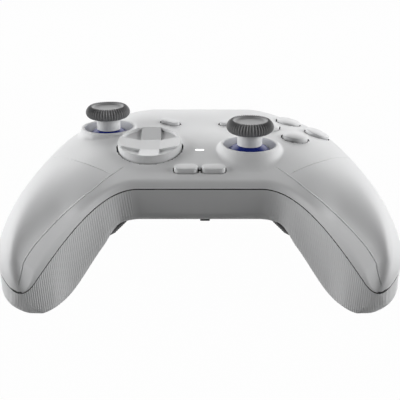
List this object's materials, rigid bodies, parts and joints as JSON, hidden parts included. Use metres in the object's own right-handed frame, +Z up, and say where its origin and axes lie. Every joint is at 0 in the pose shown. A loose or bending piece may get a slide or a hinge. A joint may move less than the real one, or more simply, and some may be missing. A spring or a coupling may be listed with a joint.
{
  "type": "gamepad",
  "caption": "Two-handed game controller with offset thumb sticks, a dished direction pad, round face buttons, shoulder buttons, triggers and back buttons.",
  "frame": {"origin": "middle of the footprint on the table, under the lowest points of the grips", "axes": "+X to the player's right across the grips, +Y from the player to the rear edge with the triggers, +Z up"},
  "size_m": [0.1524, 0.1164, 0.06],
  "materials": {
    "shell_white": "satin moulded",
    "shell_grey": "satin moulded",
    "button_white": "satin moulded",
    "cap_rubber": "matte with fine ribs",
    "post_grey": "satin moulded",
    "dome_blue": "polished",
    "light_white": "translucent white",
    "dark_plastic": "moulded",
    "inner_plastic": "moulded",
    "silicone": "translucent matte",
    "steel": "plain",
    "board": "solder mask",
    "cell_wrap": "shrink film"
  },
  "bodies": {
    "chassis": {"upper_shell": "shell_white", "lower_shell": "shell_grey", "status_light": "light_white", "left_stick_housing": "steel", "left_stick_sensors": "dark_plastic", "right_stick_housing": "steel", "right_stick_sensors": "dark_plastic", "dpad_post": "inner_plastic", "dpad_membrane": "silicone", "face_membrane": "silicone", "small_membranes": "silicone", "bumper_pins": "steel", "trigger_pins": "steel", "trigger_springs": "steel", "switch_body": "dark_plastic", "main_board": "board", "usb_socket": "steel", "battery": "cell_wrap", "left_rumble_motor": "steel", "right_rumble_motor": "steel", "shell_screws": "steel", "board_screws": "steel"},
    "left_yoke": {"left_stick_yoke": "dark_plastic"},
    "left_rocker": {"left_stick_rocker": "inner_plastic"},
    "left_stick": {"left_stick_cap": "cap_rubber", "left_stick_post": "post_grey", "left_stick_dome": "dome_blue", "left_stick_lever": "inner_plastic"},
    "right_yoke": {"right_stick_yoke": "dark_plastic"},
    "right_rocker": {"right_stick_rocker": "inner_plastic"},
    "right_stick": {"right_stick_cap": "cap_rubber", "right_stick_post": "post_grey", "right_stick_dome": "dome_blue", "right_stick_lever": "inner_plastic"},
    "pad_cross": {"dpad_cross": "dark_plastic"},
    "pad": {"dpad_cap": "button_white"},
    "button_a_body": {"button_a": "button_white"},
    "button_b_body": {"button_b": "button_white"},
    "button_x_body": {"button_x": "button_white"},
    "button_y_body": {"button_y": "button_white"},
    "view_button_body": {"view_button": "button_white"},
    "menu_button_body": {"menu_button": "button_white"},
    "fn_button_body": {"fn_button": "button_white"},
    "home_button_body": {"home_button": "button_white"},
    "left_bumper_body": {"left_bumper": "button_white"},
    "right_bumper_body": {"right_bumper": "button_white"},
    "left_trigger_body": {"left_trigger": "button_white"},
    "right_trigger_body": {"right_trigger": "button_white"},
    "left_paddle_body": {"left_paddle": "dark_plastic"},
    "right_paddle_body": {"right_paddle": "dark_plastic"},
    "mode_switch_body": {"mode_switch": "dark_plastic"},
    "left_weight": {"left_rumble_weight": "steel"},
    "right_weight": {"right_rumble_weight": "steel"}
  },
  "joints": [
    {"name": "left_stick_pitch", "type": "hinge", "parent": "chassis", "child": "left_yoke", "pos_m": [-0.041, 0.0228, 0.0366], "axis": [1, 0, 0], "range_deg": [-13, 13], "stiffness_Nm_per_rad": 0.05},
    {"name": "left_stick_roll", "type": "hinge", "parent": "left_yoke", "child": "left_rocker", "pos_m": [-0.041, 0.0228, 0.0366], "axis": [0, 1, 0], "range_deg": [-13, 13], "stiffness_Nm_per_rad": 0.05},
    {"name": "left_stick_press", "type": "slide", "parent": "left_rocker", "child": "left_stick", "axis": [0, 0, -1], "range_m": [0, 0.0005], "stiffness_N_per_m": 900, "springref_m": -0.0012},
    {"name": "right_stick_pitch", "type": "hinge", "parent": "chassis", "child": "right_yoke", "pos_m": [0.0208, -0.0008, 0.0366], "axis": [1, 0, 0], "range_deg": [-13, 13], "stiffness_Nm_per_rad": 0.05},
    {"name": "right_stick_roll", "type": "hinge", "parent": "right_yoke", "child": "right_rocker", "pos_m": [0.0208, -0.0008, 0.0366], "axis": [0, 1, 0], "range_deg": [-13, 13], "stiffness_Nm_per_rad": 0.05},
    {"name": "right_stick_press", "type": "slide", "parent": "right_rocker", "child": "right_stick", "axis": [0, 0, -1], "range_m": [0, 0.0005], "stiffness_N_per_m": 900, "springref_m": -0.0012},
    {"name": "pad_pitch", "type": "hinge", "parent": "chassis", "child": "pad_cross", "pos_m": [-0.0208, 0.00066, 0.04313], "axis": [1, 0, 0], "range_deg": [-3, 3], "stiffness_Nm_per_rad": 0.6},
    {"name": "pad_roll", "type": "hinge", "parent": "pad_cross", "child": "pad", "pos_m": [-0.0208, 0.00066, 0.04313], "axis": [0, 0.9833, 0.1822], "range_deg": [-3, 3], "stiffness_Nm_per_rad": 0.6},
    {"name": "button_a_press", "type": "slide", "parent": "chassis", "child": "button_a_body", "axis": [-0.0757, 0, -0.9971], "range_m": [0, 0.0012], "stiffness_N_per_m": 400, "springref_m": -0.001},
    {"name": "button_b_press", "type": "slide", "parent": "chassis", "child": "button_b_body", "axis": [-0.3397, 0, -0.9406], "range_m": [0, 0.0012], "stiffness_N_per_m": 400, "springref_m": -0.001},
    {"name": "button_x_press", "type": "slide", "parent": "chassis", "child": "button_x_body", "axis": [-0.0507, 0, -0.9987], "range_m": [0, 0.0012], "stiffness_N_per_m": 400, "springref_m": -0.001},
    {"name": "button_y_press", "type": "slide", "parent": "chassis", "child": "button_y_body", "axis": [-0.1764, 0, -0.9843], "range_m": [0, 0.0012], "stiffness_N_per_m": 400, "springref_m": -0.001},
    {"name": "view_button_press", "type": "slide", "parent": "chassis", "child": "view_button_body", "axis": [0, 0.1045, -0.9945], "range_m": [0, 0.0008], "stiffness_N_per_m": 400, "springref_m": -0.001},
    {"name": "menu_button_press", "type": "slide", "parent": "chassis", "child": "menu_button_body", "axis": [0, 0.1045, -0.9945], "range_m": [0, 0.0008], "stiffness_N_per_m": 400, "springref_m": -0.001},
    {"name": "fn_button_press", "type": "slide", "parent": "chassis", "child": "fn_button_body", "axis": [0, 0.2079, -0.9781], "range_m": [0, 0.0008], "stiffness_N_per_m": 400, "springref_m": -0.001},
    {"name": "home_button_press", "type": "slide", "parent": "chassis", "child": "home_button_body", "axis": [0, 0.2079, -0.9781], "range_m": [0, 0.0008], "stiffness_N_per_m": 400, "springref_m": -0.001},
    {"name": "left_bumper_swing", "type": "hinge", "parent": "chassis", "child": "left_bumper_body", "pos_m": [-0.024, 0.044, 0.03775], "axis": [0, 0, 1], "range_deg": [0, 3], "stiffness_Nm_per_rad": 0.3, "springref_deg": -2.86},
    {"name": "right_bumper_swing", "type": "hinge", "parent": "chassis", "child": "right_bumper_body", "pos_m": [0.024, 0.044, 0.03775], "axis": [0, 0, -1], "range_deg": [0, 3], "stiffness_Nm_per_rad": 0.3, "springref_deg": -2.86},
    {"name": "left_trigger_pull", "type": "hinge", "parent": "chassis", "child": "left_trigger_body", "pos_m": [-0.044, 0.038, 0.028], "axis": [-1, 0, 0], "range_deg": [0, 15], "stiffness_Nm_per_rad": 0.06, "springref_deg": -28.65},
    {"name": "right_trigger_pull", "type": "hinge", "parent": "chassis", "child": "right_trigger_body", "pos_m": [0.044, 0.038, 0.028], "axis": [-1, 0, 0], "range_deg": [0, 15], "stiffness_Nm_per_rad": 0.06, "springref_deg": -28.65},
    {"name": "left_paddle_press", "type": "slide", "parent": "chassis", "child": "left_paddle_body", "axis": [-0.5219, 0.1737, 0.8352], "range_m": [0, 0.001], "stiffness_N_per_m": 500, "springref_m": -0.001},
    {"name": "right_paddle_press", "type": "slide", "parent": "chassis", "child": "right_paddle_body", "axis": [0.5219, 0.1737, 0.8352], "range_m": [0, 0.001], "stiffness_N_per_m": 500, "springref_m": -0.001},
    {"name": "mode_switch_slide", "type": "slide", "parent": "chassis", "child": "mode_switch_body", "axis": [1, 0, 0], "range_m": [-0.001, 0.001]},
    {"name": "left_weight_spin", "type": "hinge", "parent": "chassis", "child": "left_weight", "pos_m": [-0.057, -0.007, 0.024], "axis": [-0.287, -0.7103, -0.6428], "continuous": true},
    {"name": "right_weight_spin", "type": "hinge", "parent": "chassis", "child": "right_weight", "pos_m": [0.057, -0.007, 0.024], "axis": [0.287, -0.7103, -0.6428], "continuous": true}
  ]
}
